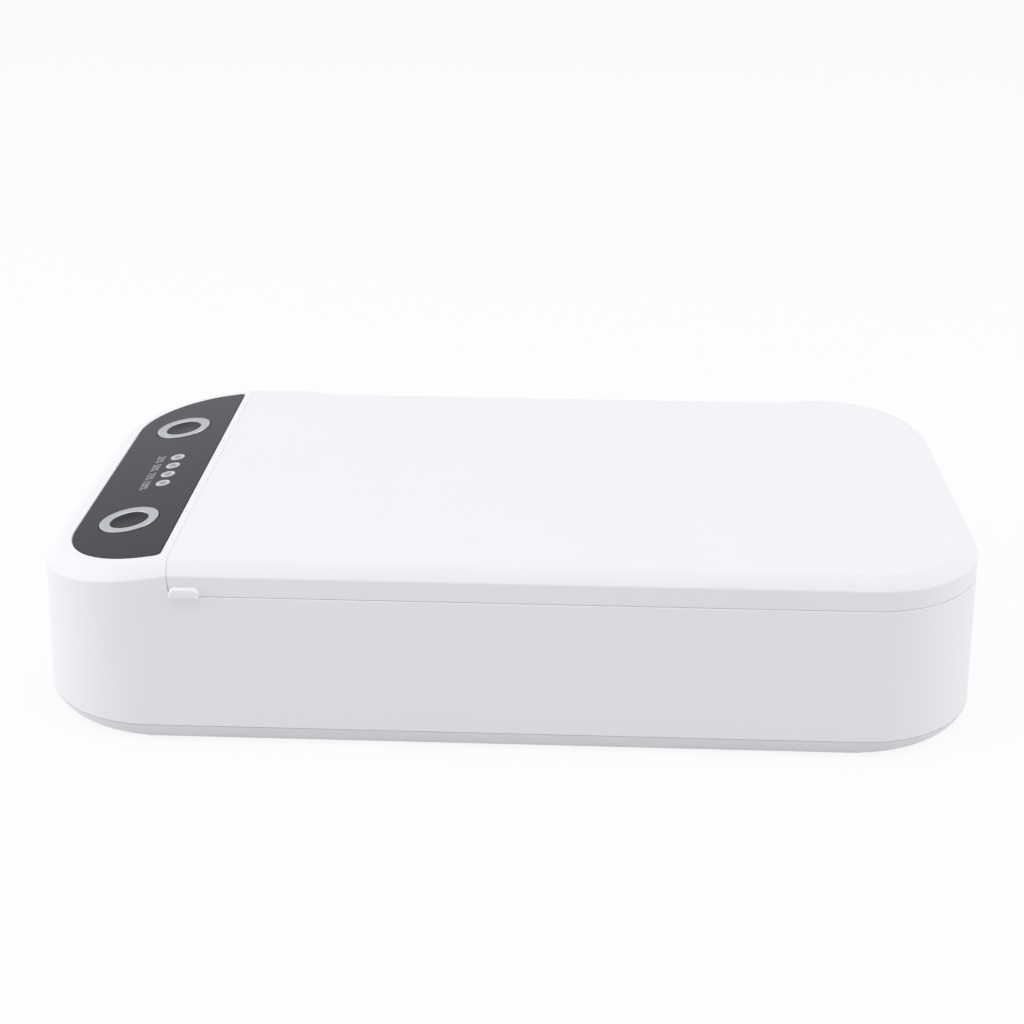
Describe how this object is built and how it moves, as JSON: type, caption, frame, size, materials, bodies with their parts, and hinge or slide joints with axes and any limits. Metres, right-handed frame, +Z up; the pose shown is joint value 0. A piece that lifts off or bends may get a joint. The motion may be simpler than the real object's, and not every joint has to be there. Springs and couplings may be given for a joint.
{
  "type": "uv sanitizer box for phones",
  "caption": "Low white box with round corners: a hinged lid over a lamp-lit chamber for a phone, and a sloping control head with two push buttons and a row of level lights.",
  "frame": {"origin": "On the floor, under the middle of the box's overall length and depth", "axes": "+X along the box's length, away from the control head; +Y towards the hinges at the rear; +Z up"},
  "size_m": [0.2148, 0.1196, 0.0434],
  "materials": {
    "white_gloss": "glossy white ABS moulding",
    "white_satin": "plain white plastic",
    "black_gloss": "piano black plastic",
    "silver_satin": "satin silver plated plastic",
    "rubber_grey": "soft matt rubber",
    "screw_steel": "plain steel",
    "lens_white": "milky light guide plastic",
    "board_green": "green printed circuit board",
    "chip_black": "black moulded component",
    "mirror_liner": "vacuum metallised plastic, mirror bright",
    "lamp_glass": "clear quartz tube",
    "clear_window": "clear quartz plate",
    "felt_grey": "felt",
    "copper_tape": "copper foil round a ferrite core",
    "lead_white": "white insulation",
    "magnet_nickel": "nickel plated magnet"
  },
  "bodies": {
    "base": {"base_shell": "white_gloss", "bottom_cover": "white_gloss", "control_panel": "black_gloss", "front_switch_body": "chip_black", "rear_switch_body": "chip_black", "control_board": "board_green", "driver_board": "board_green", "driver_transformer": "copper_tape", "driver_capacitor": "chip_black", "power_socket": "screw_steel", "chamber_liner": "mirror_liner", "lamp_tube": "lamp_glass", "near_lamp_holder": "white_satin", "far_lamp_holder": "white_satin", "lamp_window": "clear_window", "aroma_pad": "felt_grey", "near_lamp_lead": "lead_white", "far_lamp_lead": "lead_white", "board_harness": "lead_white", "reed_switch": "lamp_glass", "left_hinge_pin": "screw_steel", "right_hinge_pin": "screw_steel", "rubber_foot_1": "rubber_grey", "bottom_screw_1": "screw_steel", "led_lens_1": "lens_white", "led_diode_1": "lens_white", "rubber_foot_2": "rubber_grey", "bottom_screw_2": "screw_steel", "led_lens_2": "lens_white", "led_diode_2": "lens_white", "rubber_foot_3": "rubber_grey", "bottom_screw_3": "screw_steel", "led_lens_3": "lens_white", "led_diode_3": "lens_white", "rubber_foot_4": "rubber_grey", "bottom_screw_4": "screw_steel", "led_lens_4": "lens_white", "led_diode_4": "lens_white", "board_screw_1": "screw_steel", "driver_screw_1": "screw_steel", "board_screw_2": "screw_steel", "driver_screw_2": "screw_steel"},
    "lid": {"lid_shell": "white_gloss", "lid_liner": "mirror_liner", "lid_magnet": "magnet_nickel", "lid_screw_1": "screw_steel", "lid_screw_2": "screw_steel", "lid_screw_3": "screw_steel", "lid_screw_4": "screw_steel"},
    "front_button": {"front_button_key": "silver_satin", "front_button_inlay": "black_gloss", "front_switch_plunger": "lead_white"},
    "rear_button": {"rear_button_key": "silver_satin", "rear_button_inlay": "black_gloss", "rear_switch_plunger": "lead_white"}
  },
  "joints": [
    {"name": "lid_hinge", "type": "hinge", "parent": "base", "child": "lid", "pos_m": [0, 0.05828, 0.0374], "axis": [-1, 0, 0], "range_deg": [0, 105]},
    {"name": "front_button_press", "type": "slide", "parent": "base", "child": "front_button", "axis": [0.158, 0, -0.9874], "range_m": [0, 0.0005], "stiffness_N_per_m": 250, "springref_m": -0.0004},
    {"name": "rear_button_press", "type": "slide", "parent": "base", "child": "rear_button", "axis": [0.158, 0, -0.9874], "range_m": [0, 0.0005], "stiffness_N_per_m": 250, "springref_m": -0.0004}
  ]
}
